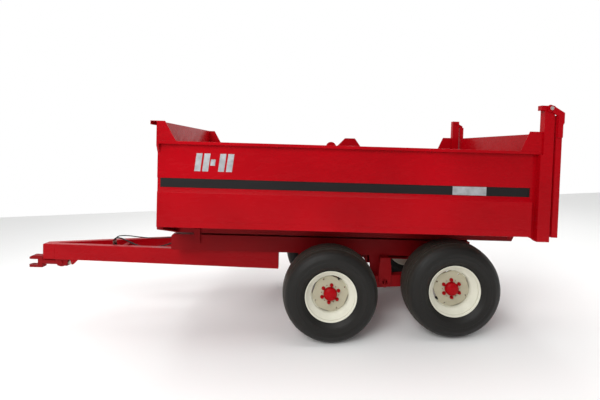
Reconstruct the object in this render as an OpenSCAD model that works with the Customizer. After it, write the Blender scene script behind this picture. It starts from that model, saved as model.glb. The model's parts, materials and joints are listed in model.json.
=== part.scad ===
// Tandem-axle tipping farm trailer: load body with a top-hung tailgate, box-beam chassis,
// A-frame drawbar with a fork hitch, and two walking beams that carry four wheels.
// The body is drawn level with its front wall at x = 0, +X to the rear and the ground at z = 0.
// placed() then lifts the nose about the walking-beam shaft and centres the whole trailer.

/* [Body] */
// Length of the side walls, from the front wall to the rear posts
body_len = 4255; // [3400:5:5200]
// Width over the upper side sheets
body_w = 2240; // [1900:5:2500]
// Height of the side walls' lower edge above the ground, nose level
side_z = 1285; // [1250:5:1500]
// Height of the lower, stepped-out side panel
lower_h = 388; // [250:1:500]
// Height of the sloping ledge above it
ledge_h = 50; // [30:1:80]
// Height of the recessed stripe band
stripe_h = 104; // [60:1:160]
// Height of the upper side panel
upper_h = 378; // [250:1:500]
// How far the lower panel stands out
step_out = 45; // [20:1:70]
// Depth of the stripe's recess
recess = 10; // [6:1:20]
// Sheet thickness of the walls
sheet = 5; // [4:0.5:8]
// Height of the top rail
rail_h = 34; // [25:1:60]
// How far the top rail stands out
rail_out = 42; // [25:1:60]
// Rise of the front wall and the tailgate above the rails
head_rise = 218; // [100:1:350]
// Reach of the front wall's top fold
head_lip = 68; // [30:1:90]
// Height of the floor above the side walls' lower edge
floor_up = 68; // [50:1:120]

/* [Tailgate] */
// Size of a rear post along the trailer
post_x = 110; // [70:1:130]
// How far a post stands out from the side sheet
post_out = 60; // [45:1:80]
// Height of the gate's pivot above the rails
pin_up = 481; // [380:1:560]
// Diameter of the gate's pivot pins
gate_pin_d = 50; // [30:1:60]
// Thickness of the gate along the trailer
gate_t = 66; // [50:1:90]
// Gap between the posts and the gate
gate_gap = 22; // [15:1:40]
// Thickness of a gate arm
arm_t = 16; // [10:1:25]

/* [Chassis] */
// Half-width over the two chassis beams
beam_half = 560; // [480:5:600]
// Width of a chassis beam
beam_w = 120; // [80:5:140]
// Depth of a chassis beam
beam_h = 200; // [160:5:240]
// Height of a chassis beam's top, nose level
beam_top = 1060; // [1040:5:1080]
// Place of the chassis's rear end
chassis_end = 3795; // [3500:5:4100]
// Wall of the chassis and drawbar tubes
tube_wall = 8; // [6:1:12]
// Depth of the body's two long rails
long_h = 205; // [150:5:205]
// Diameter of the tipping hinge's pins
tip_pin_d = 60; // [40:1:70]

/* [Drawbar] */
// Reach of the drawbar's nose ahead of the front wall
nose_reach = 2015; // [1600:5:2400]
// Place of the drawbar rails' rear ends
bar_end = 1350; // [1000:5:1600]
// Depth of a drawbar rail
bar_h = 214; // [160:1:240]
// Width of a drawbar rail
bar_w = 80; // [60:1:100]
// Slope of the drawbar, in degrees
bar_slope = 2; // [0:0.5:3]
// Diameter of the hole for the hitch pin
hitch_bore_d = 40; // [25:1:45]
// Gap of the hitch fork
fork_gap = 84; // [50:1:90]

/* [Wheels and bogie] */
// Distance from the front hubs to the rear hubs
axle_pitch = 1420; // [1300:5:1600]
// Place of the walking-beam shaft
pivot_x = 2690; // [2400:5:2900]
// Outside diameter of a tyre
tyre_d = 1120; // [980:5:1160]
// Width of a tyre
tyre_w = 420; // [340:5:430]
// Distance between the left and right wheels' middle planes
track = 1800; // [1780:5:1900]
// Diameter over a rim's flanges
rim_d = 597; // [580:1:610]
// Width between a rim's flanges
rim_w = 298; // [260:1:310]
// Circle of the wheel nuts
nut_pcd = 205; // [200:1:225]
// Diameter of the walking-beam shaft
shaft_d = 70; // [55:1:80]
// Diameter of a stub axle
axle_d = 70; // [55:1:75]
// Nose-up angle of the parked trailer, in degrees
nose_up = 4; // [0:0.5:6]

/* [Ram and stand] */
// Place of the tipping ram along the trailer
ram_x = 2100; // [1900:5:2250]
// Outside diameter of the ram's barrel
ram_d = 160; // [120:5:180]
// Place of the parking stand's pivot
stand_x = 1620; // [1450:5:1700]
// Lean of the parking stand's leg past upright, in degrees
stand_lean = 10; // [4:1:14]

/* [Hidden] */
$fn = 64;

red = "#B3111D";
half_w = body_w / 2;
// Half-width inside the walls
in_half = half_w - recess - sheet;
floor_z = side_z + floor_up;
ledge_z = side_z + lower_h;
stripe_z = ledge_z + ledge_h;
upper_z = stripe_z + stripe_h;
rail_z = upper_z + upper_h;
rail_top = rail_z + rail_h;
head_top = rail_top + head_rise;
post_end = body_len + post_x;
gate_x = post_end + gate_gap;
gate_end = gate_x + gate_t;
gate_half = half_w + post_out + 2;
arm_end = gate_end + 8;
gate_low = side_z + 5;
pin_x = body_len + post_x / 2;
pin_z = rail_top + pin_up;
stile_top = pin_z - 80;
skin_end = body_len - 85;
// The stepped-out panel starts a little behind the front wall
step_x = 18;
// A post's foot reaches this far forward of its head
post_foot = body_len - 28;
latch_x = body_len + 40;
latch_z = side_z - 150;
latch_y = beam_half - 180;
latch_r = 22;
// Running clearance on a radius, and the free gap beside a moving part
run = 0.06;
side_gap = 3;

beam_low = beam_top - beam_h;
beam_in = beam_half - beam_w;
long_half = beam_half - 10;
long_w = 100;
long_z = side_z - long_h;
tip_x = chassis_end - 55;
tip_z = beam_top - 90;
hub_z = tyre_d / 2;
half_pitch = axle_pitch / 2;

// Drawbar: outer faces of the rails run straight from the nose to the chassis beams
nose_half = 60;
nose_len = 185;
bar_rise = tan(bar_slope) * (bar_end + nose_reach);
nose_top = beam_low - bar_rise;
spread = (beam_half - nose_half) / (bar_end + nose_reach);
spread_a = atan(spread);
function bar_half(x) = nose_half + spread * (x + nose_reach);
function bar_top(x) = nose_top + tan(bar_slope) * (x + nose_reach);
function bar_low(x) = bar_top(x) - bar_h;
nose_low = nose_top - bar_h;
shank_z = nose_low - 48;
fork_z = shank_z - 8;
fork_tip = -nose_reach - 222;
fork_half = 44;
// Thickness of the fork's upper and lower jaws
ear = 32;
cheek_x = -nose_reach + 268;
cheek_r = 88;
thread_r = 30;

// Walking beam: hanger plates stand on both sides of it
hang_out = beam_half + 122;
hang_t = 15;
walk_out = hang_out - hang_t - side_gap;
walk_w = 110;
walk_in = walk_out - walk_w;
walk_h = 145;
hub_face = track / 2 + 65;
hub_back = track / 2 - tyre_w / 2 + 12;

// Ram: trunnion under the floor, straight up at rest
ram_low_z = beam_low - 100;
ram_head_z = side_z - 85;
ball_r = 46;
stage_wall = 12.5;
barrel_top = ram_head_z - 112;
barrel_len = 540;
function stage_r(k) = ram_d / 2 - stage_wall * k;

// Parking stand
stand_z = beam_low - 70;
leg_w = 70;

// Hose holder: the couplings' tops are where the hose routes start
holder_x = -1030;
coupling_top = 791;
holder_z = coupling_top - 74;
brace_x = -900;

function level_x(x, z) = pivot_x + (x - pivot_x) * cos(nose_up) + (z - hub_z) * sin(nose_up);
front_x = level_x(fork_tip, fork_z - fork_gap / 2 - ear + 12);
arm_top = pin_z - 51;
rear_x = level_x(arm_end, arm_top);
centre_x = (front_x + rear_x) / 2;

// Everything that the walking beams carry
module placed() {
    translate([pivot_x - centre_x, 0, hub_z]) rotate([0, nose_up, 0])
        translate([-pivot_x, 0, -hub_z]) children();
}

// The walking beams and wheels, which stand level on the ground
module grounded() {
    translate([pivot_x - centre_x, 0, hub_z]) children();
}

module box(a, b) {
    translate(a) cube(b - a);
}

module both_sides() {
    children();
    mirror([0, 1, 0]) children();
}

// side is -1 for the left and 1 for the right
module on_side(side) {
    mirror([0, side < 0 ? 1 : 0, 0]) children();
}

// A (y, z) outline drawn out along x
module along_x(x0, x1) {
    translate([x0, 0, 0]) rotate([90, 0, 90]) linear_extrude(x1 - x0) children();
}

// An (x, z) outline drawn out along y
module along_y(y0, y1) {
    translate([0, y1, 0]) rotate([90, 0, 0]) linear_extrude(y1 - y0) children();
}

module rod_y(x, z, r, y0, y1) {
    translate([x, y0, z]) rotate([-90, 0, 0]) cylinder(r = r, h = y1 - y0);
}

module rod_x(x0, x1, y, z, r) {
    translate([x0, y, z]) rotate([0, 90, 0]) cylinder(r = r, h = x1 - x0);
}

module rect(a, b) {
    translate(a) square(b - a);
}

// Rectangular tube along x
module tube_x(x0, x1, y0, y1, z0, z1, t) {
    along_x(x0, x1) difference() {
        rect([y0, z0], [y1, z1]);
        rect([y0 + t, z0 + t], [y1 - t, z1 - t]);
    }
}

// Rectangular tube along y
module tube_y(y0, y1, x0, x1, z0, z1, t) {
    along_y(y0, y1) difference() {
        rect([x0, z0], [x1, z1]);
        rect([x0 + t, z0 + t], [x1 - t, z1 - t]);
    }
}

/* ---- chassis ---- */

module chassis_beams() {
    color(red) placed() both_sides() difference() {
        union() {
            tube_x(-25, chassis_end, beam_in, beam_half, beam_low, beam_top, tube_wall);
            box([-25, beam_in, beam_low], [-25 + tube_wall, beam_half, beam_top]);
            box([chassis_end - tube_wall, beam_in, beam_low], [chassis_end, beam_half, beam_top]);
        }
        along_y(beam_in - 1, beam_half + 1)
            polygon([[-26, beam_top - 22], [-26, beam_top + 1], [-3, beam_top + 1]]);
        rod_y(tip_x, tip_z, tip_pin_d / 2, beam_in - 1, beam_half + 1);
    }
}

module cross_members() {
    color(red) placed() {
        // Front, middle and rear members of the chassis
        for (x = [10, 1180, 2440, 3560])
            tube_y(-beam_in, beam_in, x, x + 90, beam_low, beam_top - 30, 6);
        // Packing between the drawbar rails and the chassis beams
        for (x = [20, 640])
            both_sides() box([x, bar_half(x + 90) - bar_w + 6, bar_top(x + 90)],
                [x + 90, bar_half(x) - 6, beam_low]);
        // Braces across the drawbar
        for (x = [brace_x, -60]) {
            y0 = bar_half(x) - bar_w;
            y1 = bar_half(x + 60) - bar_w;
            translate([0, 0, bar_top(x) - 120]) linear_extrude(90)
                polygon([[x, -y0], [x + 60, -y1], [x + 60, y1], [x, y0]]);
        }
    }
}

module bar_plan(inset) {
    x0 = -nose_reach + nose_len;
    polygon([
        [x0 + inset, bar_half(x0) - inset], [bar_end + inset, bar_half(bar_end) - inset],
        [bar_end + inset, bar_half(bar_end) - bar_w + inset],
        [x0 + inset, bar_half(x0) - bar_w + inset]]);
}

module drawbar_rails() {
    x0 = -nose_reach + nose_len;
    color(red) placed() both_sides() intersection() {
        difference() {
            linear_extrude(beam_top) bar_plan(0);
            along_y(0, beam_half + 1) translate([0, -bar_h]) polygon([
                [x0 - 1, 0], [x0 - 1, bar_top(x0 - 1)],
                [bar_end + 2, bar_top(bar_end + 2)], [bar_end + 2, 0]]);
            intersection() {
                translate([tube_wall, 0, 0]) linear_extrude(beam_top) polygon([
                    [x0, bar_half(x0) - tube_wall], [bar_end - 2 * tube_wall, bar_half(bar_end) - tube_wall],
                    [bar_end - 2 * tube_wall, bar_half(bar_end) - bar_w + tube_wall],
                    [x0, bar_half(x0) - bar_w + tube_wall]]);
                along_y(0, beam_half + 1) polygon([
                    [x0 - 1, bar_top(x0 - 1) - bar_h + tube_wall], [x0 - 1, bar_top(x0 - 1) - tube_wall],
                    [bar_end, bar_top(bar_end) - tube_wall],
                    [bar_end, bar_top(bar_end) - bar_h + tube_wall]]);
            }
        }
        along_y(0, beam_half + 1) polygon([
            [x0 - 1, 0], [x0 - 1, bar_top(x0 - 1)],
            [bar_end + 1, bar_top(bar_end + 1)], [bar_end + 1, 0]]);
    }
}

module drawbar_nose() {
    x0 = -nose_reach;
    x1 = -nose_reach + nose_len;
    color(red) placed() difference() {
        intersection() {
            linear_extrude(beam_top) polygon([
                [x0, -nose_half], [x1, -bar_half(x1)], [x1, bar_half(x1)], [x0, nose_half]]);
            along_y(-half_w, half_w) polygon([
                [x0, nose_low], [x0, nose_top - 8], [x0 + 8, bar_top(x0 + 8)],
                [x1, bar_top(x1)], [x1, bar_top(x1) - bar_h]]);
        }
        // Open underside, where the swivel block sits
        box([x0 + 14, -nose_half + 14, nose_low - 1], [x1 + 1, nose_half - 14, nose_low + 150]);
    }
}

module hitch_cheeks() {
    color(red) placed() difference() {
        union() {
            both_sides() along_y(nose_half - 14, nose_half + 6) difference() {
                translate([cheek_x, shank_z + 34]) circle(r = cheek_r);
                // The plates stop at the underside of the rails
                polygon([
                    [cheek_x - 101, bar_low(cheek_x - 101)], [cheek_x + 101, bar_low(cheek_x + 101)],
                    [cheek_x + 101, nose_top], [cheek_x - 101, nose_top]]);
            }
            // Swivel block that the shank turns in
            box([cheek_x - 70, -nose_half + 14, shank_z - 50], [cheek_x + 70, nose_half - 14, shank_z + 50]);
            both_sides() rod_y(cheek_x, shank_z, 24, nose_half + 6, nose_half + 22);
        }
        rod_x(cheek_x - 90, cheek_x + 90, 0, shank_z, 36 + run);
    }
}

module hitch_fork() {
    root = fork_tip + 205;
    color(red) placed() difference() {
        union() {
            intersection() {
                along_y(-fork_half, fork_half) polygon([
                    [fork_tip, fork_z - fork_gap / 2 - ear + 12], [fork_tip + 14, fork_z - fork_gap / 2 - ear],
                    [root, fork_z - fork_gap / 2 - ear], [root, fork_z + fork_gap / 2 + ear + 18],
                    [fork_tip + 60, fork_z + fork_gap / 2 + ear + 18],
                    [fork_tip + 14, fork_z + fork_gap / 2 + ear - 6],
                    [fork_tip, fork_z + fork_gap / 2 + 10]]);
                translate([0, 0, fork_z - 200]) linear_extrude(400) union() {
                    translate([fork_tip + fork_half, 0]) circle(r = fork_half);
                    rect([fork_tip + fork_half, -fork_half], [root, fork_half]);
                }
            }
            rod_x(root - 2, cheek_x - 74, 0, shank_z, 44);
            rod_x(cheek_x - 75, cheek_x + 73, 0, shank_z, 36);
            rod_x(cheek_x + 73, cheek_x + 126, 0, shank_z, thread_r);
        }
        box([fork_tip - 1, -fork_half - 1, fork_z - fork_gap / 2],
            [fork_tip + 140, fork_half + 1, fork_z + fork_gap / 2]);
        translate([fork_tip + 62, 0, fork_z - 100]) cylinder(d = hitch_bore_d, h = 220);
    }
}

module fork_nut() {
    color("#8A8A88") placed() difference() {
        union() {
            rod_x(cheek_x + 74, cheek_x + 84, 0, shank_z, 44);
            translate([cheek_x + 84, 0, shank_z]) rotate([0, 90, 0]) cylinder(r = 44, h = 34, $fn = 6);
        }
        rod_x(cheek_x + 73, cheek_x + 119, 0, shank_z, thread_r);
    }
}

module safety_lug() {
    x = -1544;
    z = bar_low(x);
    y = -bar_half(x) + 20;
    color(red) placed() difference() {
        along_y(y, y + 16) hull() {
            polygon([[x - 50, bar_low(x - 50)], [x + 50, bar_low(x + 50)], [x + 50, z - 8], [x - 50, z - 8]]);
            translate([x - 18, z - 52]) circle(r = 20, $fn = 32);
        }
        rod_y(x - 18, z - 48, 13, y - 1, y + 17);
    }
}

/* ---- walking beams and their hangers ---- */

// front_reach is how far the plate's front corner stands ahead of the shaft
module hanger_outline(front_reach) {
    polygon([
        [pivot_x - front_reach, beam_low], [pivot_x + 62, beam_low], [pivot_x + 80, hub_z + 124],
        [pivot_x + 76, hub_z - 12], [pivot_x + 50, hub_z - 52], [pivot_x - 50, hub_z - 52],
        [pivot_x - 76, hub_z - 12], [pivot_x - max(80, front_reach - 20), hub_z + 124]]);
    translate([pivot_x, hub_z]) circle(r = 70);
}

module hanger_plate(y, front_reach) {
    difference() {
        along_y(y, y + hang_t) hanger_outline(front_reach);
        rod_y(pivot_x, hub_z, shaft_d / 2, y - 1, y + hang_t + 1);
    }
}

module bogie_hangers() {
    inner = walk_in - side_gap - hang_t;
    box_half = walk_in - side_gap - 1;
    color(red) placed() both_sides() {
        hanger_plate(hang_out - hang_t, 62);
        // The inner plate is wider and ties in with the box ahead of it
        hanger_plate(inner, 180);
        // Head box between the two plates, and its stub under the chassis beam
        tube_y(inner + hang_t, hang_out - hang_t, pivot_x - 50, pivot_x + 50, beam_low - 90, beam_low, 10);
        tube_y(inner - 40, inner, pivot_x - 50, pivot_x + 50, beam_low - 90, beam_low, 10);
    }
    // Boxes across the chassis, ahead of the shaft and behind it
    color(red) placed() {
        tube_y(-box_half, box_half, pivot_x - 210, pivot_x - 60, beam_low - 105, beam_low, 8);
        tube_y(-box_half, box_half, pivot_x + 56, pivot_x + 330, beam_low - 45, beam_low, 6);
    }
}

module pivot_shaft() {
    color("#9C2026") placed() {
        difference() {
            rod_y(pivot_x, hub_z, shaft_d / 2, -hang_out - 10, hang_out + 10);
            // Bored ends
            both_sides() rod_y(pivot_x, hub_z, shaft_d / 2 - 6, hang_out - 40, hang_out + 11);
        }
        // Keeper bars across the ends
        both_sides() box([pivot_x - 7, hang_out + 6, hub_z - 31], [pivot_x + 7, hang_out + 14, hub_z + 31]);
    }
}

module walking_beam(side) {
    color(red) grounded() on_side(side) difference() {
        union() {
            tube_x(-half_pitch - 85, half_pitch + 85, walk_in, walk_out, -walk_h / 2, walk_h / 2, 10);
            for (x = [-1, 1])
                box([x * (half_pitch + 80) - 5, walk_in, -walk_h / 2],
                    [x * (half_pitch + 80) + 5, walk_out, walk_h / 2]);
            rod_y(0, 0, 56, walk_in, walk_out);
            for (x = [-half_pitch, half_pitch]) rod_y(x, 0, 56, walk_in, walk_out);
        }
        rod_y(0, 0, shaft_d / 2 + run, walk_in - 1, walk_out + 1);
        for (x = [-half_pitch, half_pitch]) rod_y(x, 0, axle_d / 2 + 5, walk_in - 1, walk_out + 1);
    }
}

module stub_axles(side) {
    color("#6E6A66") grounded() on_side(side) for (x = [-half_pitch, half_pitch]) {
        rod_y(x, 0, axle_d / 2 + 5, walk_in, walk_out + 6);
        rod_y(x, 0, axle_d / 2, walk_out + 6, hub_face - 20);
    }
}

/* ---- wheels: drawn about the hub, with the wheel's outside towards +y ---- */

module at_hub(side, end) {
    grounded() on_side(side) translate([end * half_pitch, track / 2, 0]) children();
}

// Turns an (r, s) outline about the axle, where s runs outwards from the wheel's middle plane
module spun() {
    rotate([-90, 0, 0]) rotate_extrude($fn = 96) children();
}

module tyre(side, end) {
    r = tyre_d / 2;
    h = tyre_w / 2;
    bead = rim_d / 2 - 12;
    w = rim_w / 2;
    color("#2C2A27") at_hub(side, end) spun() polygon([
        [bead, w - 14], [bead, w], [bead + 22, w + 6], [bead + 60, h - 20], [bead + 110, h - 3],
        [bead + 155, h], [r - 96, h - 8], [r - 62, h - 26], [r - 34, h - 54], [r - 14, h - 95],
        [r - 3, h - 145], [r, h - 185], [r, 185 - h], [r - 3, 145 - h],
        [r - 14, 95 - h], [r - 34, 54 - h], [r - 62, 26 - h], [r - 96, 8 - h],
        [bead + 155, -h], [bead + 110, 3 - h], [bead + 60, 20 - h], [bead + 22, -w - 6],
        [bead, -w], [bead, 14 - w],
        [bead + 14, 14 - w], [bead + 60, 42 - h], [bead + 110, 26 - h], [r - 110, 32 - h],
        [r - 62, 66 - h], [r - 38, 115 - h], [r - 38, h - 115],
        [r - 62, h - 66], [r - 110, h - 32], [bead + 110, h - 26], [bead + 60, h - 42], [bead + 14, w - 14]]);
}

module slot_outline() {
    intersection() {
        circle(r = 214);
        rect([199, -100], [230, 100]);
    }
}

// turn is the angle of the disc's first slot, clockwise from the top as seen from the trailer's left
module rim(side, end, turn) {
    bead = rim_d / 2 - 12;
    w = rim_w / 2;
    color("#DDD8C4") at_hub(side, end) {
        spun() polygon([
            [224, 60], [232, 82], [262, 106], [bead, 130], [bead, w], [rim_d / 2 - 5, w + 3],
            [rim_d / 2, w + 12], [rim_d / 2 - 4, w + 13], [rim_d / 2 - 12, w + 9], [bead - 8, w],
            [bead - 8, 132], [256, 112], [225, 88], [216, 62],
            [216, -62], [225, -88], [256, -112], [bead - 8, -132], [bead - 8, -w],
            [rim_d / 2 - 12, -w - 9], [rim_d / 2 - 4, -w - 13], [rim_d / 2, -w - 12],
            [rim_d / 2 - 5, -w - 3], [bead, -w], [bead, -130], [262, -106], [232, -82], [224, -60]]);
        difference() {
            spun() polygon([
                [80, 53], [190, 53], [200, 48], [206, 36], [216, 36], [216, 52], [208, 60], [196, 65], [80, 65]]);
            for (k = [0:3]) rotate([0, turn + 90 * k, 0]) {
                translate([0, 80, 0]) rotate([90, 0, 0]) linear_extrude(50) slot_outline();
                rotate([0, 45, 0]) rod_y(186, 0, 9, 40, 70);
            }
            for (k = [0:5]) {
                rotate([0, turn - 12 + 60 * k, 0]) rod_y(nut_pcd / 2, 0, 10, 40, 70);
                rotate([0, turn + 18 + 60 * k, 0]) rod_y(nut_pcd / 2, 0, 7, 40, 70);
            }
        }
    }
}

module hub(side, end) {
    back = hub_back - track / 2;
    color("#B01822") at_hub(side, end) difference() {
        spun() polygon([
            [0, back], [62, back], [70, back + 10], [70, 20], [132, 34], [132, 53], [79.5, 53],
            [79.5, 80], [77, 92], [70, 103], [58, 112], [42, 119], [22, 123], [0, 124]]);
        rod_y(0, 0, axle_d / 2 + run, back - 1, 62);
    }
}

module wheel_nuts(side, end, turn, valve) {
    color("#B01822") at_hub(side, end) {
        for (k = [0:5]) rotate([0, turn - 12 + 60 * k, 0]) {
            rod_y(nut_pcd / 2, 0, 9, 53, 96);
            translate([nut_pcd / 2, 65, 0]) rotate([-90, 0, 0]) difference() {
                union() {
                    cylinder(r = 22, h = 3);
                    cylinder(r = 18.5, h = 20, $fn = 6);
                }
                translate([0, 0, -1]) cylinder(r = 9, h = 30);
            }
        }
        // Valve stem with its rubber boot
        rotate([0, valve - 90, 0]) {
            rod_y(208, 0, 12, 76, 100);
            rod_y(208, 0, 6, 100, 126);
        }
    }
}

/* ---- tipping body ---- */

module body_floor() {
    color(red) placed() {
        box([sheet, -in_half, floor_z - 6], [gate_x - 6, in_half, floor_z]);
    }
}

module long_rails() {
    color(red) placed() both_sides() {
        difference() {
            along_y(long_half - long_w, long_half) polygon([
                [0, long_z], [post_end - 26, long_z], [post_end, long_z + 58], [post_end, side_z], [0, side_z]]);
            box([tube_wall, long_half - long_w + tube_wall, long_z + tube_wall],
                [tip_x - 160, long_half - tube_wall, side_z - tube_wall]);
            rod_y(latch_x, latch_z, latch_r + run, beam_in, beam_half);
        }
        // Guide plates that keep the body over the chassis
        difference() {
            box([262, long_half, long_z - 130], [347, beam_half + 18, long_z + 60]);
            box([261, long_half - 1, long_z - 131], [348, beam_half + 4, long_z + 12]);
        }
        // Hinge knuckles inside the chassis beams
        difference() {
            along_y(beam_in - 44, beam_in - 4) hull() {
                translate([tip_x, tip_z]) circle(r = 62, $fn = 48);
                rect([tip_x - 130, side_z - 60], [tip_x + 130, side_z]);
            }
            rod_y(tip_x, tip_z, tip_pin_d / 2 + run, beam_in - 60, beam_half);
        }
        box([tip_x - 130, beam_in - 4, long_z + 30], [tip_x + 130, long_half - long_w, side_z]);
    }
}

module cross_bearers() {
    bearer_w = 60;
    color(red) placed() {
        // Channels between the floor and the long rails
        for (x = [330:430:body_len - 200])
            along_y(-in_half, in_half) difference() {
                rect([x, side_z], [x + bearer_w, floor_z - 6]);
                rect([x + 6, side_z + 6], [x + bearer_w + 1, floor_z - 12]);
            }
        // Deep tapered bolster at the front: a channel with its web to the front
        bolster = [[long_half, long_z + 4], [in_half, side_z - 42], [in_half, side_z], [long_half, side_z]];
        both_sides() {
            along_x(0, 6) polygon(bolster);
            along_x(5, 70) difference() {
                polygon(bolster);
                polygon([
                    [long_half + 8, long_z + 16], [in_half - 10, side_z - 32], [in_half - 10, side_z - 9],
                    [long_half + 8, side_z - 9]]);
            }
        }
        // Members at the front and under the posts
        for (x = [0, body_len - 70]) {
            // The rear member is shallow, so that the latch crank can pass under it
            box([x, -long_half + long_w, side_z - (x == 0 ? 110 : 45)],
                [x + 70, long_half - long_w, side_z]);
            along_y(-in_half, in_half) difference() {
                rect([x + (x == 0 ? sheet : 0), side_z], [x + 70, floor_z - 6]);
                rect([x + 11, side_z + 6], [x + 71, floor_z - 12]);
            }
        }
    }
}

// Section of a side wall's inner sheet with its shallow upper panel
module upper_section() {
    y0 = half_w - recess;
    rect([y0 - sheet, side_z], [y0, rail_z]);
    rect([y0, upper_z], [half_w, upper_z + sheet]);
    rect([half_w - sheet, upper_z], [half_w, rail_z]);
}

// Section of the stepped-out lower panel
module step_section() {
    y0 = half_w - recess;
    y2 = half_w + step_out;
    rect([y0 - 1, side_z], [y2, side_z + 6]);
    rect([y2 - sheet, side_z], [y2, ledge_z]);
    polygon([
        [y2 - sheet, ledge_z - 6], [y2, ledge_z], [y0, stripe_z],
        [y0, stripe_z - sheet * 1.4]]);
}

module side_wall(side) {
    y0 = half_w - recess;
    color(red) placed() on_side(side) {
        along_x(0, skin_end) upper_section();
        along_x(step_x, skin_end) step_section();
        along_x(skin_end, body_len) {
            rect([y0 - sheet, side_z], [y0, rail_z]);
            rect([y0, side_z], [half_w, rail_z]);
        }
        // End caps of the stepped-out panel
        for (x = [step_x, skin_end - sheet])
            along_x(x, x + sheet) polygon([
                [y0, side_z], [half_w + step_out, side_z], [half_w + step_out, ledge_z], [y0, stripe_z]]);
    }
}

module top_rails() {
    color(red) placed() both_sides() {
        tube_x(0, body_len, in_half, half_w + rail_out, rail_z, rail_top, 4);
        box([0, in_half, rail_z], [5, half_w + rail_out, rail_top]);
    }
}

module front_wall() {
    color(red) placed() {
        box([0, -in_half, side_z], [sheet, in_half, head_top]);
        // Folded top, open below
        along_y(-half_w - rail_out, half_w + rail_out) difference() {
            rect([-head_lip, head_top - 44], [sheet, head_top]);
            rect([-head_lip + sheet, head_top - 45], [0, head_top - sheet]);
        }
        // Pressed ribs on the outside
        for (y = [-760, -255, 255, 760])
            along_x(-48, 0) rect([y - 40, side_z + 20], [y + 40, head_top - 50]);
    }
}

module corner_gussets() {
    y1 = half_w + rail_out;
    color(red) placed() both_sides() {
        along_y(y1 - 6, y1) polygon([
            [0, rail_top], [0, head_top - 44], [sheet, head_top - 44], [sheet, head_top],
            [92, head_top], [216, rail_top]]);
        along_y(y1 - 6, y1) polygon([
            [body_len - 239, rail_top], [body_len - 143, head_top],
            [body_len, head_top], [body_len, rail_top]]);
        // Wedge under the rail at the front corner
        along_x(0, 26) polygon([
            [half_w, rail_z - 100], [y1, rail_z - 16], [y1, rail_z], [half_w, rail_z]]);
        // Web between the front wall and its gusset
        box([0, in_half, rail_top], [sheet, y1 - 6, head_top - 44]);
    }
}

module rear_posts() {
    color(red) placed() both_sides() {
        y0 = in_half;
        y1 = half_w + post_out;
        difference() {
            union() {
                along_x(body_len, post_end) polygon([
                    [y0, side_z - 48], [y1, side_z - 48], [y1, pin_z + 24], [y0, pin_z + 24]]);
                // Wider foot below the top rail
                box([post_foot, half_w, side_z - 48], [body_len, y1, rail_z]);
            }
            // Hollow core
            box([body_len + 6, y0 + 6, side_z - 40], [post_end - 6, y1 - 6, pin_z - 60]);
            rod_y(pin_x, pin_z - 5, gate_pin_d / 2, y0 - 1, y1 + 1);
        }
        // Bottom gusset towards the side panel
        along_y(half_w - 8, half_w) polygon([
            [post_foot - 88, side_z], [post_foot - 26, side_z - 26], [post_foot - 4, side_z - 44],
            [body_len, side_z - 44], [body_len, side_z]]);
        // Pivot pin with its head outside the gate arm
        rod_y(pin_x, pin_z - 5, gate_pin_d / 2, y0 - 14, y1 + 2 + arm_t + 12);
    }
    // Sheet hook on the left post's head
    color(red) placed()
        box([body_len - 42, -half_w - post_out, pin_z - 30], [body_len, -half_w, pin_z + 24]);
}

module side_stripes() {
    y = half_w - recess;
    color("#1B1B1D") placed() both_sides()
        box([34, y, stripe_z + 1], [skin_end - 2, y + 2, upper_z - 1]);
}

module marker_plates() {
    y = half_w;
    z = upper_z + 184;
    color("#C9CACC") placed() both_sides() {
        // Broken row of reflective bars, high at the front
        for (k = [0:4]) {
            h = k == 2 ? 70 : 200;
            w = k == 2 ? 52 : 66;
            along_y(y, y + 2) translate([410 + 88 * k, z - h / 2]) polygon([
                [0, 0], [w, 0], [w + h * 0.12, h], [h * 0.12, h]]);
        }
        // Reflector plate on the stripe, near the rear
        box([3300, y - recess + 2, stripe_z + 4], [3680, y - recess + 5, upper_z - 4]);
    }
}

module rail_brackets() {
    y0 = half_w - 6;
    color(red) placed() {
        // Sheet-bow bracket and rope cleat on the right rail
        along_y(y0, y0 + 12) polygon([
            [2228, rail_top], [2380, rail_top + 160], [2552, rail_top + 160], [2668, rail_top]]);
        along_y(y0 - 10, y0 + 16) difference() {
            translate([2138, rail_top]) circle(r = 88);
            rect([2000, rail_top - 100], [2300, rail_top]);
        }
    }
}

module ram_cup() {
    cup = ball_r + 2;
    color(red) placed() {
        difference() {
            translate([ram_x, 0, ram_head_z + 12]) cylinder(r = ball_r + 20, h = side_z - ram_head_z - 12);
            translate([ram_x, 0, ram_head_z]) sphere(r = cup);
        }
        // Pair of bearers that carry the cup between the long rails
        for (s = [-1, 1]) difference() {
            box([ram_x + s * 50 - 22, -long_half + long_w, side_z - 60],
                [ram_x + s * 50 + 22, long_half - long_w, side_z]);
            translate([ram_x, 0, side_z - 200]) cylinder(r = ball_r + 20, h = 200);
        }
    }
}

/* ---- tailgate ---- */

module gate_sheet() {
    color(red) placed()
        box([gate_x, -gate_half + 60, gate_low], [gate_x + sheet, gate_half - 60, head_top - 6]);
}

module gate_frame() {
    y1 = gate_half;
    z1 = head_top - 6;
    color(red) placed() {
        // Stiles, taller than the sheet
        both_sides() difference() {
            box([gate_x, y1 - 60, gate_low], [gate_end, y1, stile_top]);
            box([gate_x + 5, y1 - 55, gate_low + 6], [gate_end - 5, y1 - 5, stile_top - 6]);
        }
        // Rails across the back
        for (z = [gate_low, gate_low + 520, z1 - 70])
            tube_y(-y1 + 60, y1 - 60, gate_x + sheet, gate_end, z, z + 70, 4);
        // Upright ribs between the rails
        for (y = [-560, 0, 560]) for (r = [
            [gate_low + 70, gate_low + 520], [gate_low + 590, z1 - 70]])
            difference() {
                box([gate_x + sheet, y - 35, r[0]], [gate_end - 8, y + 35, r[1]]);
                box([gate_x + sheet - 1, y - 31, r[0] - 1], [gate_end - 12, y + 31, r[1] + 1]);
            }
    }
}

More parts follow.
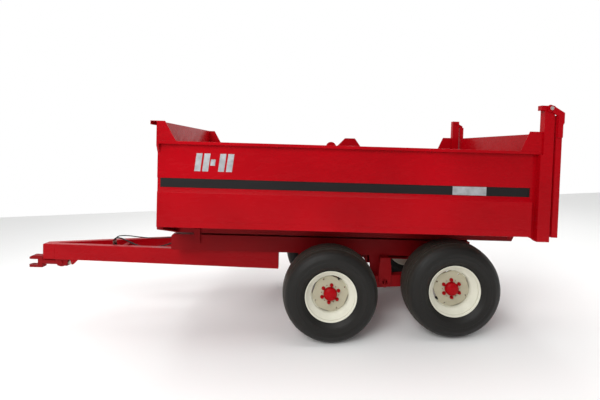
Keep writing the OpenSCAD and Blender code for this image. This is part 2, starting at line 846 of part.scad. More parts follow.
module gate_arms() {
    y = gate_half;
    color(red) placed() both_sides() difference() {
        along_y(y, y + arm_t) polygon([
            [pin_x - 34, pin_z - 42], [pin_x - 34, pin_z + 20], [pin_x - 12, pin_z + 34],
            [pin_x + 16, pin_z + 27],
            [arm_end, arm_top], [arm_end, arm_top - 113],
            [gate_end - 4, head_top + 80], [gate_end - 4, head_top - 60], [gate_x + 6, head_top - 60],
            [gate_x + 6, pin_z - 92], [pin_x + 12, pin_z - 44]]);
        rod_y(pin_x, pin_z - 5, gate_pin_d / 2 + run, y - 1, y + arm_t + 1);
    }
}

module latch_shaft() {
    color("#7C1A20") placed() {
        rod_y(latch_x, latch_z, latch_r, -long_half - 6, long_half + 6);
        both_sides() {
            // Hooks that reach behind the strikers
            along_y(latch_y, latch_y + 24) difference() {
                union() {
                    translate([latch_x, latch_z]) circle(r = 36);
                    polygon([
                        [latch_x - 14, latch_z - 36], [gate_end - 2, latch_z + 34],
                        [gate_end + 34, latch_z + 78],
                        [gate_end + 34, latch_z + 118], [gate_end + 12, latch_z + 118],
                        [gate_end + 8, latch_z + 84], [gate_end - 30, latch_z + 62], [latch_x, latch_z + 38]]);
                }
                translate([latch_x, latch_z]) circle(r = latch_r);
            }
        }
        // Crank that the release rod pulls
        along_y(250, 268) difference() {
            hull() {
                translate([latch_x, latch_z]) circle(r = 34, $fn = 32);
                translate([latch_x - 110, latch_z + 10]) circle(r = 22, $fn = 32);
            }
            translate([latch_x, latch_z]) circle(r = latch_r);
            translate([latch_x - 110, latch_z + 10]) circle(r = 9);
        }
    }
}

module gate_strikers() {
    color("#7C1A20") placed() both_sides() {
        // Pins that the hooks hold, on lugs under the gate
        for (y = [latch_y - 16, latch_y + 28]) along_y(y, y + 12) difference() {
            polygon([
                [gate_x + 10, gate_low], [gate_x + 10, gate_low - 30], [gate_end - 22, gate_low - 66],
                [gate_end + 4, gate_low - 66], [gate_end + 4, gate_low]]);
            translate([gate_end - 14, gate_low - 46]) circle(r = 12);
        }
        rod_y(gate_end - 14, gate_low - 46, 12, latch_y - 22, latch_y + 46);
    }
}

/* ---- tipping ram ---- */

module ram_barrel() {
    color("#2B2B2D") placed() {
        difference() {
            union() {
                translate([ram_x, 0, barrel_top - barrel_len]) cylinder(r = stage_r(0), h = barrel_len);
                translate([ram_x, 0, barrel_top - 34]) cylinder(r = stage_r(0) + 8, h = 34);
                rod_y(ram_x, ram_low_z, 30, -stage_r(0) - 52, stage_r(0) + 52);
            }
            translate([ram_x, 0, barrel_top - barrel_len + 22]) cylinder(r = stage_r(1) + run, h = barrel_len);
        }
    }
}

module ram_stage(k) {
    top = barrel_top + 14 * k;
    low = barrel_top - barrel_len + 22 + 8 * k;
    color("#B9BCC0") placed() difference() {
        translate([ram_x, 0, low]) cylinder(r = stage_r(k), h = top - low);
        if (k < 3) translate([ram_x, 0, low + 8 - run]) cylinder(r = stage_r(k + 1) + run, h = top - low);
    }
    if (k == 3) color("#B9BCC0") placed() {
        translate([ram_x, 0, top]) cylinder(r = 30, h = ram_head_z - top);
        translate([ram_x, 0, ram_head_z]) sphere(r = ball_r);
    }
}

module ram_cradle() {
    y0 = stage_r(0) + 14;
    color(red) placed() {
        both_sides() difference() {
            along_y(y0, y0 + 30) hull() {
                translate([ram_x, ram_low_z]) circle(r = 62, $fn = 32);
                rect([ram_x - 110, beam_low + 14], [ram_x + 110, beam_low + 20]);
            }
            rod_y(ram_x, ram_low_z, 30 + run, 0, y0 + 60);
        }
        both_sides() for (x = [ram_x - 110, ram_x + 50])
            tube_y(y0, beam_in, x, x + 60, beam_low + 20, beam_low + 90, 6);
    }
}

/* ---- parking stand ---- */

module stand_bracket() {
    color(red) placed() {
        both_sides() difference() {
            along_y(52, 66) hull() {
                translate([stand_x, stand_z]) circle(r = 46, $fn = 32);
                translate([stand_x + 50, stand_z - 10]) circle(r = 20, $fn = 32);
                rect([stand_x - 80, beam_low + 10], [stand_x + 80, beam_low + 20]);
            }
            rod_y(stand_x, stand_z, 16, 40, 80);
        }
        // Bar that stops the leg just past upright
        translate([stand_x, 0, stand_z]) rotate([0, -stand_lean - nose_up, 0])
            rod_y(leg_w / 2 + 10.5, -20, 10, -52, 52);
        tube_y(-beam_in, beam_in, stand_x - 70, stand_x + 70, beam_low + 20, beam_low + 120, 6);
        rod_y(stand_x, stand_z, 16, -78, 78);
    }
}

// The leg is drawn where it stands on the ground, leaning past upright against its stop
module stand_leg() {
    top_x = level_x(stand_x, stand_z) - centre_x;
    top_z = hub_z - (stand_x - pivot_x) * sin(nose_up) + (stand_z - hub_z) * cos(nose_up);
    leg = top_z / cos(stand_lean);
    foot_x = top_x + top_z * tan(stand_lean);
    color(red) {
        translate([top_x, 0, top_z]) rotate([0, -stand_lean, 0]) difference() {
            union() {
                box([-leg_w / 2, -leg_w / 2, -leg + 40], [leg_w / 2, leg_w / 2, 0]);
                rod_y(0, 0, leg_w / 2 - 1, -49, 49);
            }
            rod_y(0, 0, 16 + run, -60, 60);
            box([-leg_w / 2 + 6, -leg_w / 2 + 6, -leg + 90], [leg_w / 2 - 6, leg_w / 2 - 6, -60]);
        }
        box([foot_x - 110, -90, 0], [foot_x + 110, 90, 10]);
        // Shoe that ties the leg to its foot plate
        translate([foot_x, 0, 0]) along_y(-leg_w / 2 - 6, leg_w / 2 + 6)
            polygon([[-64, 9], [64, 9], [36, 64], [-60, 64]]);
    }
}

module tip_hinge_pins() {
    color("#9C9C98") placed() both_sides()
        rod_y(tip_x, tip_z, tip_pin_d / 2, beam_in - 56, beam_half + 14);
}

/* ---- hoses along the drawbar ---- */

module hose_holder() {
    color("#26262A") placed() {
        box([holder_x - 20, -46, holder_z + 6], [holder_x + 16, 46, holder_z + 14]);
        box([holder_x - 20, -46, holder_z - 50], [holder_x - 12, 46, holder_z + 6]);
        box([holder_x - 12, -46, holder_z - 50], [brace_x, 46, holder_z - 42]);
        both_sides() translate([holder_x, 26, holder_z + 14]) difference() {
            cylinder(r = 17, h = 30);
            translate([0, 0, -1]) cylinder(r = 11, h = 40);
        }
    }
}

module hose_couplings() {
    color("#C8C9C4") placed() both_sides() translate([holder_x, 26, holder_z + 14]) {
        cylinder(r = 11, h = 34);
        translate([0, 0, 34]) cylinder(r = 15, h = 26, $fn = 6);
    }
}

// Routes in level millimetres, from a coupling to the chassis's front member
pressure_route = [
    [-1030, -26, 791], [-1030, -26, 800], [-1030, -26, 812], [-1018, -28, 830], [-990, -32, 846],
    [-950, -40, 850], [-900, -50, 842], [-840, -62, 824], [-770, -76, 800], [-700, -90, 778],
    [-620, -104, 760], [-530, -116, 750], [-430, -126, 752], [-330, -132, 770], [-230, -134, 800],
    [-140, -134, 836], [-80, -134, 864], [-30, -134, 880], [-15, -134, 880], [0, -134, 880],
    [10, -134, 880]];
return_route = [
    [-1030, 26, 791], [-1030, 26, 800], [-1030, 26, 812], [-1020, 26, 836], [-994, 28, 856],
    [-956, 30, 864], [-900, 34, 866], [-830, 40, 862], [-750, 46, 852], [-660, 54, 842],
    [-560, 62, 834], [-450, 70, 832], [-340, 76, 838], [-230, 80, 850], [-140, 82, 868],
    [-80, 82, 880], [-30, 82, 884], [-15, 82, 884], [0, 82, 884], [10, 82, 884]];

function unit(v) = v / norm(v);
function catmull(a, b, c, d, t) =
    0.5 * ((2 * b) + (c - a) * t + (2 * a - 5 * b + 4 * c - d) * t * t + (3 * b - a - 3 * c + d) * t * t * t);
function smooth_route(p, n) = [
    for (i = [0:len(p) - 2]) for (k = [0:n - 1])
        catmull(p[max(i - 1, 0)], p[i], p[i + 1], p[min(i + 2, len(p) - 1)], k / n),
    p[len(p) - 1]];

// A tube of constant radius swept along a smoothed route that stays near an x-z plane
module hose(route, r) {
    p = smooth_route(route, 3);
    n = len(p);
    m = 10;
    rings = [for (i = [0:n - 1])
        let (t = unit(p[min(i + 1, n - 1)] - p[max(i - 1, 0)]),
            u = unit(cross(t, [0, 1, 0])), v = cross(u, t))
        for (k = [0:m - 1]) p[i] + r * (cos(360 * k / m) * u + sin(360 * k / m) * v)];
    sides = [for (i = [0:n - 2]) for (k = [0:m - 1])
        let (a = i * m + k, b = i * m + (k + 1) % m) [a, a + m, b + m, b]];
    polyhedron(rings, concat(sides, [[for (k = [0:m - 1]) k]], [[for (k = [m - 1:-1:0]) (n - 1) * m + k]]));
}

module pressure_hose() {
    color("#1F1F22") placed() hose(pressure_route, 9);
}

module return_hose() {
    color("#1F1F22") placed() hose(return_route, 7);
}

chassis_beams();
cross_members();
drawbar_rails();
drawbar_nose();
hitch_cheeks();
hitch_fork();
fork_nut();
safety_lug();
bogie_hangers();
pivot_shaft();
ram_cradle();
stand_bracket();
stand_leg();
tip_hinge_pins();
hose_holder();
hose_couplings();
pressure_hose();
return_hose();
walking_beam(-1);  // left_walking_beam
walking_beam(1);  // right_walking_beam
stub_axles(-1);  // left_stub_axles
stub_axles(1);  // right_stub_axles
tyre(-1, -1);  // left_front_tyre
rim(-1, -1, 113.5);  // left_front_rim
hub(-1, -1);  // left_front_hub
wheel_nuts(-1, -1, 113.5, 29.6);  // left_front_nuts
tyre(-1, 1);  // left_rear_tyre
rim(-1, 1, 163);  // left_rear_rim
hub(-1, 1);  // left_rear_hub
wheel_nuts(-1, 1, 163, 244.4);  // left_rear_nuts
tyre(1, -1);  // right_front_tyre
rim(1, -1, 50);  // right_front_rim
hub(1, -1);  // right_front_hub
wheel_nuts(1, -1, 50, 290);  // right_front_nuts
tyre(1, 1);  // right_rear_tyre
rim(1, 1, 20);  // right_rear_rim
hub(1, 1);  // right_rear_hub
wheel_nuts(1, 1, 20, 130);  // right_rear_nuts
body_floor();
long_rails();
cross_bearers();
side_wall(-1);  // left_side
side_wall(1);  // right_side
top_rails();
front_wall();
corner_gussets();
rear_posts();
side_stripes();
marker_plates();
rail_brackets();
ram_cup();
gate_sheet();
gate_frame();
gate_arms();
latch_shaft();
gate_strikers();
ram_barrel();
ram_stage(1);  // ram_stage_1
ram_stage(2);  // ram_stage_2
ram_stage(3);  // ram_stage_3
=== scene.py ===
import json
import math

import bmesh
import bpy
from mathutils import Matrix, Vector

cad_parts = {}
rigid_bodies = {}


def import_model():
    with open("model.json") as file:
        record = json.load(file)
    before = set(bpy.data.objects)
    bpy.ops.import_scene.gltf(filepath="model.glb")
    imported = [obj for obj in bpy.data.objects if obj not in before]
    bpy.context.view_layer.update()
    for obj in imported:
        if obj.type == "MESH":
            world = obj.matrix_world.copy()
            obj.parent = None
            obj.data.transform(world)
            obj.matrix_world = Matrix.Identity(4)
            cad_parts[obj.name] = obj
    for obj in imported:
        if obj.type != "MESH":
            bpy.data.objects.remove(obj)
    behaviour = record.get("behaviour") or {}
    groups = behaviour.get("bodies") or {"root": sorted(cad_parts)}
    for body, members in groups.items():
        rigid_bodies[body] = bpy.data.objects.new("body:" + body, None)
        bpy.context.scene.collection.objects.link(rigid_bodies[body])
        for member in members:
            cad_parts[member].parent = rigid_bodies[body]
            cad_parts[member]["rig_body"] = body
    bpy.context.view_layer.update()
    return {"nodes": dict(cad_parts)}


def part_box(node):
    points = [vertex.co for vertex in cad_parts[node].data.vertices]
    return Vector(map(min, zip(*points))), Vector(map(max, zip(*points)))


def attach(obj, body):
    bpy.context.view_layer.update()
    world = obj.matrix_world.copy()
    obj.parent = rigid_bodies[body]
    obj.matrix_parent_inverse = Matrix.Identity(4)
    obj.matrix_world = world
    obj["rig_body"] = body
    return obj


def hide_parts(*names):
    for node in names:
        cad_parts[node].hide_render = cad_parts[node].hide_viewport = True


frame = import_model()

# ---- Camera ----
# It stands off the trailer's left side, level with the body's top rail and a little behind the
# middle of the trailer's length, and is rolled by the nose-up angle less the ground's own fall.
camera = bpy.data.cameras.new("camera")
camera.lens = 21.07
camera.shift_x = 0.0012
camera.shift_y = -0.0707
camera_object = bpy.data.objects.new("camera", camera)
camera_object.location = (0.4788, -5.025, 2.272)
camera_object.rotation_euler = [math.radians(a) for a in (88.485, 2.339, -0.358)]
bpy.context.scene.collection.objects.link(camera_object)
bpy.context.scene.camera = camera_object
bpy.context.scene.view_settings.view_transform = "Standard"


# ---- Ground and studio light ----
# Plain pale ground before a lit white backdrop, a dim even sky, and three large soft lamps: high to
# the left front, overhead, and a weak one from behind.
def linear(code):
    """The linear colour of an sRGB hex code."""
    parts = [int(code[i:i + 2], 16) / 255 for i in (1, 3, 5)]
    return [p / 12.92 if p <= 0.04045 else ((p + 0.055) / 1.055) ** 2.4 for p in parts] + [1]


def add(material, kind, inputs=(), **settings):
    """Adds a node with its settings, and its inputs as values or as the sockets that feed them."""
    node = material.node_tree.nodes.new(kind)
    for name, value in settings.items():
        setattr(node, name, value)
    for name, value in dict(inputs).items():
        if isinstance(value, bpy.types.NodeSocket):
            material.node_tree.links.new(value, node.inputs[name])
        else:
            node.inputs[name].default_value = value
    return node


def new_material(name):
    """A material with an empty node tree."""
    material = bpy.data.materials.new(name)
    material.use_nodes = True
    material.node_tree.nodes.clear()
    return material


ground_material = new_material("pale_plaster_floor")
ground_shader = add(ground_material, "ShaderNodeBsdfPrincipled",
                    {"Base Color": linear("#f6f6f5"), "Roughness": 0.9})
add(ground_material, "ShaderNodeOutputMaterial", {"Surface": ground_shader.outputs["BSDF"]})
backdrop_material = new_material("lit_white_backdrop")
glow = add(backdrop_material, "ShaderNodeEmission", {"Color": linear("#ffffff"), "Strength": 1.0})
add(backdrop_material, "ShaderNodeOutputMaterial", {"Surface": glow.outputs["Emission"]})
STAGE_HALF = 60
BACKDROP_Y = 9
upright = Matrix.Translation((0, BACKDROP_Y, 0)) @ Matrix.Rotation(math.radians(90), 4, "X")
for stage_name, stage_material, stage_place in (("ground", ground_material, Matrix()),
                                                ("backdrop", backdrop_material, upright)):
    sheet = bmesh.new()
    bmesh.ops.create_grid(sheet, x_segments=1, y_segments=1, size=STAGE_HALF, matrix=stage_place)
    stage_data = bpy.data.meshes.new(stage_name)
    sheet.to_mesh(stage_data)
    sheet.free()
    stage_data.materials.append(stage_material)
    stage_piece = bpy.data.objects.new(stage_name, stage_data)
    bpy.context.scene.collection.objects.link(stage_piece)

world = bpy.data.worlds.new("overcast")
world.use_nodes = True
world.node_tree.nodes["Background"].inputs["Color"].default_value = linear("#fbfcfd")
world.node_tree.nodes["Background"].inputs["Strength"].default_value = 0.4
bpy.context.scene.world = world

for lamp_name, place, target, size, power in (
        ("lamp_left_front", (-3.5, -9, 8), (0, 0, 1), 6, 830),
        ("lamp_overhead", (1, 0, 9), (0, 0, 0), 8, 420),
        ("lamp_behind", (4, 6, 6), (0, 0, 1), 4, 110)):
    lamp = bpy.data.lights.new(lamp_name, "AREA")
    lamp.size = size
    lamp.energy = power
    lamp_object = bpy.data.objects.new(lamp_name, lamp)
    lamp_object.location = place
    lamp_object.rotation_euler = (Vector(target) - Vector(place)).to_track_quat("-Z", "Y").to_euler()
    bpy.context.scene.collection.objects.link(lamp_object)


# ---- Chassis, drawbar and bogie hangers ----
# Welded box-section beams and plates of structural steel, sprayed with glossy two-pack enamel. The
# enamel is bright on clean faces and carries road dust low down; the beams and plates under the body
# are painted darker for the shade that falls there.
# Degrees between two faces, and metres between two corners
SHARP_ANGLE = 35
FLAT_ANGLE = 0.4
WELD_GAP = 2e-6


def finished(node, material, edge=0.0):
    """A copy of a CAD piece whose sharp edges are rounded by edge metres, in its finish."""
    mesh = bmesh.new()
    mesh.from_mesh(frame["nodes"][node].data)
    bmesh.ops.remove_doubles(mesh, verts=mesh.verts, dist=WELD_GAP)
    bmesh.ops.dissolve_limit(mesh, angle_limit=math.radians(FLAT_ANGLE), verts=mesh.verts,
                             edges=mesh.edges)
    sharp = [e for e in mesh.edges if e.is_manifold and e.calc_face_angle() > math.radians(SHARP_ANGLE)]
    if edge:
        bmesh.ops.bevel(mesh, geom=sharp, offset=edge, offset_type="OFFSET", affect="EDGES", segments=2,
                        profile=0.5, material=-1, clamp_overlap=True)
    return shown(node + "_finish", mesh, material, frame["nodes"][node]["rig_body"], [node])


def shown(name, mesh, material, body, nodes=(), angle=SHARP_ANGLE):
    """Makes a piece from a bmesh: smooth up to edges sharper than angle, riding on its body."""
    for face in mesh.faces:
        face.smooth = True
    for corner in mesh.edges:
        if corner.is_manifold and corner.calc_face_angle() > math.radians(angle):
            corner.smooth = False
    data = bpy.data.meshes.new(name)
    mesh.to_mesh(data)
    mesh.free()
    data.materials.append(material)
    piece = bpy.data.objects.new(name, data)
    bpy.context.scene.collection.objects.link(piece)
    weighted = piece.modifiers.new("even_shading", "WEIGHTED_NORMAL")
    weighted.keep_sharp = True
    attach(piece, body)
    if nodes:
        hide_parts(*nodes)
    return piece


def enamel(name, bright, deep, dust, low_dust, high_dust, gloss, sheen=0.22):
    """Sprayed enamel of roughness gloss: shifts of shade, orange peel, and dust thinning upwards."""
    material = new_material(name)
    place = add(material, "ShaderNodeTexCoord").outputs["Object"]
    # The shade drifts over about a metre
    shade = add(material, "ShaderNodeTexNoise", {"Vector": place, "Scale": 0.9, "Detail": 2.0})
    colour = add(material, "ShaderNodeMix", {
        0: add(material, "ShaderNodeMapRange", {
            "Value": shade.outputs["Fac"], "From Min": 0.35, "From Max": 0.65}).outputs["Result"],
        6: linear(deep), 7: linear(bright)}, data_type="RGBA").outputs[2]
    # Dust patches of about 100 mm, thickest below the hubs
    grime = add(material, "ShaderNodeTexNoise", {
        "Vector": place, "Scale": 9.0, "Detail": 8.0, "Roughness": 0.7})
    height = add(material, "ShaderNodeSeparateXYZ", {"Vector": place}).outputs["Z"]
    fade = add(material, "ShaderNodeMapRange", {
        "Value": height, "From Min": 0.3, "From Max": 1.3, "To Min": low_dust, "To Max": high_dust})
    dusty = add(material, "ShaderNodeMath", {0: grime.outputs["Fac"], 1: fade.outputs["Result"]},
                operation="MULTIPLY")
    mixed = add(material, "ShaderNodeMix", {
        0: dusty.outputs["Value"], 6: colour, 7: linear(dust)}, data_type="RGBA")
    # Wiping marks some 300 mm long change the gloss a little
    wiped = add(material, "ShaderNodeTexNoise", {
        "Vector": add(material, "ShaderNodeMapping", {"Vector": place, "Scale": (1.0, 3.0, 4.0)}
                      ).outputs["Vector"], "Scale": 3.0, "Detail": 5.0, "Roughness": 0.6})
    rough = add(material, "ShaderNodeMapRange", {
        "Value": wiped.outputs["Fac"], "From Min": 0.3, "From Max": 0.7, "To Min": gloss - 0.05,
        "To Max": gloss + 0.12})
    dull = add(material, "ShaderNodeMath", {0: rough.outputs["Result"], 1: dusty.outputs["Value"]},
               operation="ADD")
    # Orange peel of about 3 mm
    peel = add(material, "ShaderNodeTexNoise", {"Vector": place, "Scale": 330.0, "Detail": 1.0})
    bump = add(material, "ShaderNodeBump", {
        "Height": peel.outputs["Fac"], "Strength": 0.06, "Distance": 0.0005})
    shader = add(material, "ShaderNodeBsdfPrincipled", {
        "Base Color": mixed.outputs[2], "Roughness": dull.outputs["Value"], "Specular IOR Level": sheen,
        "Normal": bump.outputs["Normal"]})
    add(material, "ShaderNodeOutputMaterial", {"Surface": shader.outputs["BSDF"]})
    return material


# Faces in the open keep their gloss; below and between the beams the coat is duller and dustier,
# and painted darker for the shade there
red_enamel = enamel("red_two_pack_enamel", "#a2020f", "#92010c", "#6d4038",
                    low_dust=0.08, high_dust=0.01, gloss=0.24, sheen=0.08)
shaded_red_enamel = enamel("red_enamel_painted_shade", "#8c0a12", "#7a060d", "#4c3530",
                      low_dust=0.2, high_dust=0.03, gloss=0.4, sheen=0.08)
for chassis_node in ("drawbar_rails", "drawbar_nose", "safety_lug"):
    finished(chassis_node, red_enamel, 0.003)
# The beams and plates in the shade under the body take the enamel painted darker for that shade
for chassis_node in ("chassis_beams", "cross_members", "hitch_cheeks", "bogie_hangers", "ram_cradle",
                     "stand_bracket"):
    finished(chassis_node, shaded_red_enamel, 0.003)
finished("stand_leg", shaded_red_enamel, 0.002)
finished("hitch_fork", shaded_red_enamel, 0.004)


# ---- Walking beams, their shaft, stub axles and hinge pins ----
# Box-section beams, rocking on a shaft across the hangers, all in the duller enamel painted darker
# for the shade under the body. The stub axles and the body's hinge pins are turned from steel bar and
# left bare, dull with grease and dust.
def steel(name, code, roughness, streak, bump_strength=0.1):
    """Worked or plated steel: turning or rolling marks streak metres apart, over faint stains."""
    material = new_material(name)
    place = add(material, "ShaderNodeTexCoord").outputs["Object"]
    # Stains of about 70 mm
    stain = add(material, "ShaderNodeTexNoise", {"Vector": place, "Scale": 14.0, "Detail": 6.0})
    colour = add(material, "ShaderNodeHueSaturation", {
        "Color": linear(code),
        "Value": add(material, "ShaderNodeMapRange", {
            "Value": stain.outputs["Fac"], "From Min": 0.3, "From Max": 0.7, "To Min": 0.72,
            "To Max": 1.1}).outputs["Result"]})
    marks = add(material, "ShaderNodeTexNoise", {"Vector": place, "Scale": 1 / streak, "Detail": 2.0})
    rough = add(material, "ShaderNodeMapRange", {
        "Value": marks.outputs["Fac"], "From Min": 0.3, "From Max": 0.7, "To Min": roughness - 0.07,
        "To Max": roughness + 0.1})
    bump = add(material, "ShaderNodeBump", {
        "Height": marks.outputs["Fac"], "Strength": bump_strength, "Distance": 0.0004})
    shader = add(material, "ShaderNodeBsdfPrincipled", {
        "Base Color": colour.outputs["Color"], "Metallic": 1.0, "Roughness": rough.outputs["Result"],
        "Normal": bump.outputs["Normal"]})
    add(material, "ShaderNodeOutputMaterial", {"Surface": shader.outputs["BSDF"]})
    return material


turned_steel = steel("turned_carbon_steel", "#8f8a84", 0.38, 0.0015)
finished("pivot_shaft", shaded_red_enamel, 0.001)
finished("tip_hinge_pins", turned_steel, 0.002)
for side in ("left", "right"):
    finished(side + "_walking_beam", shaded_red_enamel, 0.004)
    finished(side + "_stub_axles", turned_steel, 0.002)


# ---- Tyres ----
# Radial trailer tyres of black carbon-filled rubber, moulded with straight ribs round the crown
# and fine rings on the sidewalls. Dust turns them brown.
def rubber(name, code, dust):
    """Moulded rubber; the wear attribute marks where the tread is scuffed and dusty."""
    material = new_material(name)
    place = add(material, "ShaderNodeTexCoord").outputs["Object"]
    wear = add(material, "ShaderNodeAttribute", attribute_name="wear")
    # Dried soil in patches of about 45 mm
    soil = add(material, "ShaderNodeTexNoise", {
        "Vector": place, "Scale": 22.0, "Detail": 8.0, "Roughness": 0.75})
    worn = add(material, "ShaderNodeMath", {0: soil.outputs["Fac"], 1: wear.outputs["Fac"]},
               operation="MULTIPLY")
    mixed = add(material, "ShaderNodeMix", {
        0: worn.outputs["Value"], 6: linear(code), 7: linear(dust)}, data_type="RGBA")
    # The mould's grain, of about 2.5 mm
    grain = add(material, "ShaderNodeTexNoise", {"Vector": place, "Scale": 420.0, "Detail": 3.0})
    bump = add(material, "ShaderNodeBump", {
        "Height": grain.outputs["Fac"], "Strength": 0.25, "Distance": 0.0006})
    rough = add(material, "ShaderNodeMapRange", {
        "Value": soil.outputs["Fac"], "From Min": 0.2, "From Max": 0.8, "To Min": 0.42, "To Max": 0.66})
    shader = add(material, "ShaderNodeBsdfPrincipled", {
        "Base Color": mixed.outputs[2], "Roughness": rough.outputs["Result"], "Specular IOR Level": 0.3,
        "Normal": bump.outputs["Normal"]})
    add(material, "ShaderNodeOutputMaterial", {"Surface": shader.outputs["BSDF"]})
    return material


tyre_rubber = rubber("moulded_tyre_rubber", "#0e0d0b", "#4a443c")
WHEELS = [side + "_" + end for side in ("left", "right") for end in ("front", "rear")]
TYRE_STEPS = 144
# Millimetres across the tyre and down from its skin
RIB_GROOVES = (-120, -80, -40, 0, 40, 80, 120)
GROOVE_STEPS = ((-5.5, 0), (-3.5, 12), (3.5, 12), (5.5, 0))
CROWN_DROPS = ((0, 0), (25, 0), (65, 3), (115, 14), (156, 34), (184, 62), (202, 96))
# Metres below the crown where dust starts, and the height over which it thickens
DUST_DROP = 0.060
DUST_BAND = 0.055


def crown_drop(across):
    """How far the tread lies below the full radius, at this distance across; both in millimetres."""
    across = abs(across)
    for (near, high), (far, low) in zip(CROWN_DROPS, CROWN_DROPS[1:]):
        if across <= far:
            return high + (low - high) * (across - near) / (far - near)
    return CROWN_DROPS[-1][1]


def tyre_outline(radius, half):
    """The tyre's section as (radius, across) points in metres, from bead to bead over the tread."""
    bead = 0.2865
    flank = [(bead, half - 0.075), (bead, half - 0.061), (bead + 0.012, half - 0.058),
             (bead + 0.022, half - 0.053), (bead + 0.040, half - 0.034), (bead + 0.060, half - 0.021),
             (bead + 0.064, half - 0.015), (bead + 0.070, half - 0.015), (bead + 0.074, half - 0.011),
             (bead + 0.095, half - 0.006), (bead + 0.112, half - 0.002), (bead + 0.115, half),
             (bead + 0.121, half), (bead + 0.124, half - 0.002), (bead + 0.150, half),
             (bead + 0.165, half - 0.003), (radius - 0.098, half - 0.009),
             (radius - 0.080, half - 0.017)]
    tread = []
    for centre in RIB_GROOVES:
        for across, depth in GROOVE_STEPS:
            tread.append((radius - (crown_drop(centre + across) + depth) / 1000, (centre + across) / 1000))
    shoulder = [(radius - crown_drop(a) / 1000, a / 1000) for a in (146, 156, 166, 176, 184)]
    inside = [(radius - 0.066, 0.142), (radius - 0.042, 0.095)]
    well = [(bead + 0.014, half - 0.075), (bead + 0.060, half - 0.042), (bead + 0.110, half - 0.026),
            (radius - 0.110, half - 0.032)]
    outer = [(r, -s) for r, s in flank] + [(r, -s) for r, s in reversed(shoulder)] + tread
    outer += shoulder + list(reversed(flank))
    inner = well + inside
    return outer + inner + [(r, -s) for r, s in reversed(inner)]


def lathe(mesh, outline, centre, steps):
    """Spins a closed (radius, across) outline round the line through centre along Y."""
    points = [mesh.verts.new((centre.x + r, centre.y + s, centre.z)) for r, s in outline]
    ring = [mesh.edges.new((a, b)) for a, b in zip(points, points[1:] + points[:1])]
    bmesh.ops.spin(mesh, geom=points + ring, axis=(0, 1, 0), cent=centre, dvec=(0, 0, 0),
                   angle=math.tau, steps=steps, use_merge=True)
    bmesh.ops.remove_doubles(mesh, verts=mesh.verts, dist=1e-5)
    bmesh.ops.recalc_face_normals(mesh, faces=mesh.faces)


for wheel in WHEELS:
    low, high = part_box(wheel + "_tyre")
    centre = (low + high) / 2
    radius = (high.x - low.x) / 2
    tyre = bmesh.new()
    lathe(tyre, tyre_outline(radius, (high.y - low.y) / 2), centre, TYRE_STEPS)
    wear_layer = tyre.verts.layers.float.new("wear")
    for vertex in tyre.verts:
        spot = vertex.co - centre
        reach = math.hypot(spot.x, spot.z)
        vertex[wear_layer] = min(0.9, max(0.1, (reach - radius + DUST_DROP) / DUST_BAND))
    shown(wheel + "_rib_tyre", tyre, tyre_rubber, wheel + "_wheel", [wheel + "_tyre"], 28)


# ---- Rims, hubs and wheel nuts ----
# Rolled and pressed steel wheels in cream enamel, bolted to cast hubs. Their discs are painted darker
# and khakier for the shade inside the rims, and carry brake dust. The hub caps, the nuts and their
# studs are red enamel, and the valves are black rubber.
cream_enamel = enamel("cream_wheel_enamel", "#e3e2d2", "#d8d6c4", "#5c5240",
                      low_dust=0.25, high_dust=0.15, gloss=0.3)
# The discs' enamel: darker and khakier as painted shade from the rim, and dustier with brake dust
shaded_dusty_disc_enamel = enamel("disc_enamel_painted_shade_and_dust", "#bdb7a0", "#b0a98f", "#4e4534",
                      low_dust=0.35, high_dust=0.2, gloss=0.42, sheen=0.12)
DISC_RADIUS = 0.205
VALVE_RADIUS = 0.19


def mark_faces(piece, material, centre, start, end):
    """Gives the material to a wheel piece's faces between two distances from the hub's line."""
    piece.data.materials.append(material)
    for face in piece.data.polygons:
        reach = math.hypot(face.center.x - centre.x, face.center.z - centre.z)
        face.material_index = start < reach < end


for wheel in WHEELS:
    rim = finished(wheel + "_rim", cream_enamel, 0.002)
    finished(wheel + "_hub", red_enamel, 0.003)
    nuts = finished(wheel + "_nuts", red_enamel, 0.001)
    low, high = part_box(wheel + "_hub")
    centre = (low + high) / 2
    # Inside DISC_RADIUS the wheel takes the enamel painted darker for the shade inside the rim
    mark_faces(rim, shaded_dusty_disc_enamel, centre, 0, DISC_RADIUS)
    mark_faces(nuts, tyre_rubber, centre, VALVE_RADIUS, math.inf)


# ---- Load body ----
# Folded steel sheet on cross bearers and two long rails, welded and sprayed inside and out. The side
# walls step out low down and carry a flush black band between two folds.
sheet_enamel = enamel("red_sheet_enamel", "#ac0110", "#9c010d", "#8a5a50",
                      low_dust=0.06, high_dust=0.01, gloss=0.22, sheen=0.09)
# The rails and bearers under the floor take the enamel painted darker for the shade there
for body_node, edge in (("long_rails", 0.003), ("cross_bearers", 0.002), ("ram_cup", 0.002)):
    finished(body_node, shaded_red_enamel, edge)
for body_node, edge in (("body_floor", 0.0),
                        ("left_side", 0.0025), ("right_side", 0.0025), ("top_rails", 0.004),
                        ("front_wall", 0.002), ("corner_gussets", 0.0015), ("rear_posts", 0.003),
                        ("rail_brackets", 0.002)):
    finished(body_node, sheet_enamel, edge)

# ---- Ends of the gate's pins, and the seams where the floor meets the side walls ----
# The pins' ends are bare steel, worn bright. Inside each stepped-out panel the floor is stitched to
# the wall, and the weld's pull leaves a fine crease along the outside.
NOSE_UP = math.radians(4)
